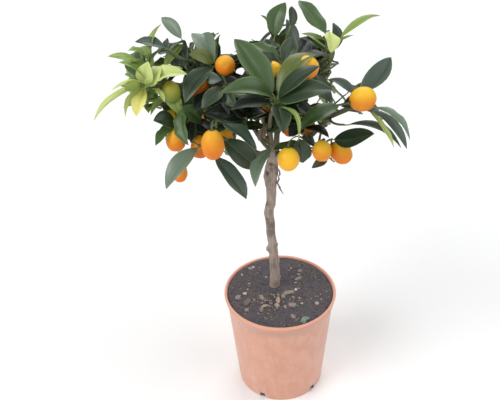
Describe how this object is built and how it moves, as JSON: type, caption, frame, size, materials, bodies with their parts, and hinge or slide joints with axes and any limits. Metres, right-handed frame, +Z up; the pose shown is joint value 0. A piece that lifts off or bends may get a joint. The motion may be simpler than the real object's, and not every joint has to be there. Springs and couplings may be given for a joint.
{
  "type": "potted kumquat tree",
  "caption": "Young fruiting kumquat tree with a bare stem, open leafy crown and orange fruit, standing in a round plastic nursery pot of soil.",
  "frame": {"origin": "centre of the pot's flat underside, where the plant stands", "axes": "+Z up along the pot's axis; -Y is the front of the tree, with the young pale shoot at -X"},
  "size_m": [0.3713, 0.3169, 0.6324],
  "materials": {
    "pot": "satin",
    "soil": "matte",
    "bark": "matte",
    "leaves": "satin",
    "young_leaves": "satin",
    "fruit": "satin"
  },
  "bodies": {
    "root": {"pot": "pot", "soil": "soil", "trunk": "bark", "bough_left": "bark", "bough_right": "bark", "bough_back": "bark", "bough_front": "bark", "bough_top": "bark", "bough_young": "bark", "bough_low_left": "bark", "bough_upper_left": "bark", "bough_heart": "bark", "bough_low_right": "bark", "bough_upper_right": "bark", "bough_back_left": "bark", "bough_back_right": "bark", "foliage_young": "young_leaves", "foliage_left": "leaves", "foliage_low_left": "leaves", "foliage_upper_left": "leaves", "foliage_front": "leaves", "foliage_heart": "leaves", "foliage_top": "leaves", "foliage_upper_right": "leaves", "foliage_right": "leaves", "foliage_low_right": "leaves", "foliage_back": "leaves", "foliage_back_left": "leaves", "foliage_back_right": "leaves"}
  },
  "joints": []
}
